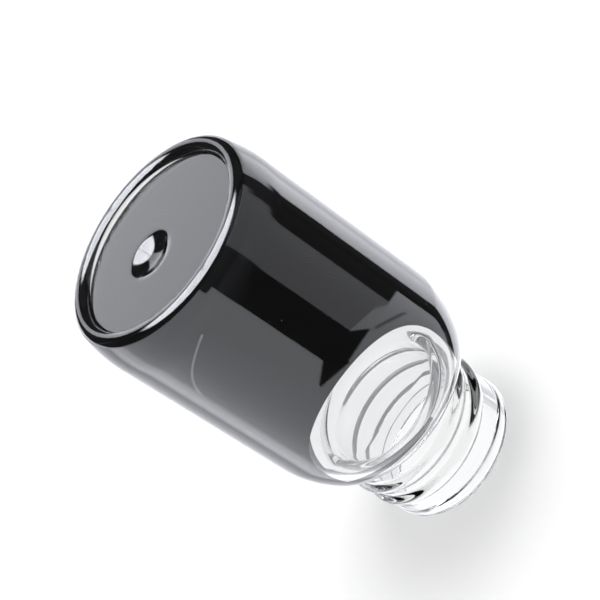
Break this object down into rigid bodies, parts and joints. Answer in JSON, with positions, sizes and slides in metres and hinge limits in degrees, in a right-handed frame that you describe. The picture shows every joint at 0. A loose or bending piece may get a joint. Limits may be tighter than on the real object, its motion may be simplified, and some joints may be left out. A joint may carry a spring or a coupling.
{
  "type": "glass sample vial",
  "caption": "Small clear glass vial with a screw neck, a pushed-up base and a black coat inside its body, with a clear window.",
  "frame": {"origin": "centre of the body's axis on the plane of the mouth rim, on which the vial stands", "axes": "+Z along the body's axis, from the mouth up to the base; the coat's window faces -Y"},
  "size_m": [0.022, 0.022, 0.0395],
  "materials": {
    "clear_glass": "polished",
    "black_coat": "gloss"
  },
  "bodies": {
    "root": {"glass_vial": "clear_glass", "black_coat": "black_coat"}
  },
  "joints": []
}
